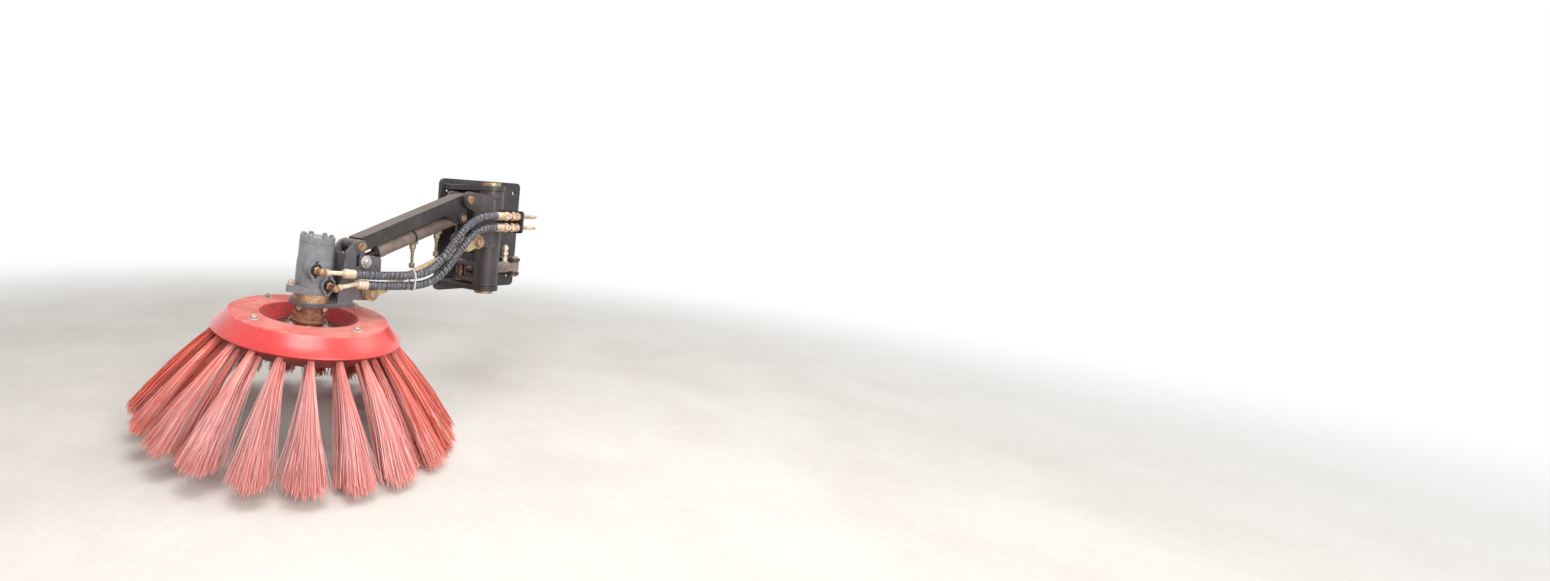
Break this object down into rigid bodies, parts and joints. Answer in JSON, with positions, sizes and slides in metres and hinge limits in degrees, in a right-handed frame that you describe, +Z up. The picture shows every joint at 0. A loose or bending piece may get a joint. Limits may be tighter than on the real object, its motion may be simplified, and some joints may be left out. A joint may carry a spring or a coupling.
{
  "type": "street sweeper side broom unit",
  "caption": "Hydraulic side broom of a street sweeper: red gutter brush with a motor on a parallelogram arm, with lift and swing cylinders, hoses and a chassis bracket.",
  "frame": {"origin": "centre of the chassis plate's bolt pattern, on the face that seats on the chassis rail", "axes": "+X to the rear of the truck, +Y inboard towards the chassis, +Z up"},
  "size_m": [1.3876, 0.8842, 0.7139],
  "materials": {
    "frame_paint": "dark grey paint, dusty",
    "arm_paint": "dark grey paint, worn",
    "head_paint": "light lilac grey paint, dusty",
    "motor_paint": "light blue grey paint over a casting",
    "yellow_zinc": "yellow zinc plate",
    "cream_zinc": "pale yellow zinc plate on hose ends",
    "bright_steel": "bright zinc plate",
    "rod_chrome": "hard chrome, dusty",
    "cylinder_paint": "brown grey paint, dusty",
    "hub_iron": "brown oiled iron",
    "cover_red": "red powder coat",
    "board_red": "red moulded plastic",
    "bristle_red": "coral red polypropylene bristle",
    "hose_rubber": "black rubber with a spiral guard",
    "tie_white": "white nylon tie"
  },
  "bodies": {
    "chassis_side": {"chassis_bracket": "frame_paint", "king_pin": "yellow_zinc", "swing_anchor_pin": "yellow_zinc"},
    "turret": {"turret": "frame_paint", "swing_front_pin": "yellow_zinc", "hose_bulkhead": "frame_paint", "hose_union_a": "cream_zinc", "hose_union_b": "cream_zinc", "arm_pin_rear": "yellow_zinc", "tie_pin_rear": "yellow_zinc"},
    "arm": {"upper_arm": "arm_paint", "lift_pin_rear": "yellow_zinc", "hose_tie": "tie_white", "hose_rear_a": "hose_rubber", "hose_rear_b": "hose_rubber"},
    "link": {"tie_rod": "yellow_zinc"},
    "lift_barrel": {"lift_barrel": "cylinder_paint", "lift_ports": "cream_zinc"},
    "lift_rod": {"lift_rod": "rod_chrome"},
    "swing_barrel": {"swing_barrel": "cylinder_paint", "swing_ports": "cream_zinc"},
    "swing_rod": {"swing_rod": "rod_chrome"},
    "head": {"head_bracket": "head_paint", "arm_pin_head": "yellow_zinc", "lift_pin_head": "bright_steel", "tie_pin_head": "yellow_zinc", "spacer_collar": "yellow_zinc", "hydraulic_motor": "motor_paint", "motor_fitting_a": "cream_zinc", "motor_fitting_b": "cream_zinc", "hose_front_a": "hose_rubber", "hose_front_b": "hose_rubber"},
    "brush": {"drive_shaft": "bright_steel", "drive_hub": "hub_iron", "hub_plate": "hub_iron", "hub_bolts": "yellow_zinc", "brush_cover": "cover_red", "cover_bolts": "yellow_zinc", "tuft_board": "board_red", "bristle_tufts": "bristle_red"}
  },
  "joints": [
    {"name": "swing", "type": "hinge", "parent": "chassis_side", "child": "turret", "pos_m": [-0.1, -0.15, 0], "axis": [0, 0, 1], "range_deg": [-8, 16]},
    {"name": "lift", "type": "hinge", "parent": "turret", "child": "arm", "pos_m": [-0.238, -0.161, 0.12], "axis": [0, 1, 0], "range_deg": [-4, 20], "deforming": ["hose_rear_a", "hose_rear_b"]},
    {"name": "link_turn", "type": "hinge", "parent": "turret", "child": "link", "pos_m": [-0.212, -0.161, -0.004], "axis": [0, 1, 0], "range_deg": [-4.5, 20.5]},
    {"name": "head_level", "type": "hinge", "parent": "arm", "child": "head", "pos_m": [-0.619, -0.161, -0.016], "axis": [0, 1, 0], "range_deg": [-20.5, 4.5], "deforming": ["hose_front_a", "hose_front_b"]},
    {"name": "brush_spin", "type": "hinge", "parent": "head", "child": "brush", "pos_m": [-0.74, -0.15, -0.195], "axis": [0.0522, -0.0731, 0.996], "continuous": true},
    {"name": "lift_barrel_turn", "type": "hinge", "parent": "arm", "child": "lift_barrel", "pos_m": [-0.252, -0.161, 0.064], "axis": [0, 1, 0], "range_deg": [-0.4, 0.79]},
    {"name": "lift_rod_slide", "type": "slide", "parent": "lift_barrel", "child": "lift_rod", "axis": [-0.9451, 0, -0.3267], "range_m": [-0.0156, 0.0035]},
    {"name": "swing_barrel_turn", "type": "hinge", "parent": "chassis_side", "child": "swing_barrel", "pos_m": [0.14, -0.055, -0.11], "axis": [0, 0, 1], "range_deg": [-1.15, 2]},
    {"name": "swing_rod_slide", "type": "slide", "parent": "swing_barrel", "child": "swing_rod", "axis": [-0.9998, -0.0189, 0], "range_m": [-0.0129, 0.0252]}
  ],
  "couplings": [
    {"joint": "link_turn", "follows": "lift", "ratio": 1},
    {"joint": "head_level", "follows": "lift", "ratio": -1},
    {"joint": "lift_barrel_turn", "follows": "lift", "ratio": 0.024403},
    {"joint": "lift_rod_slide", "follows": "lift", "m_per_rad": -0.043131},
    {"joint": "swing_barrel_turn", "follows": "swing", "ratio": 0.10613},
    {"joint": "swing_rod_slide", "follows": "swing", "m_per_rad": 0.088485}
  ]
}
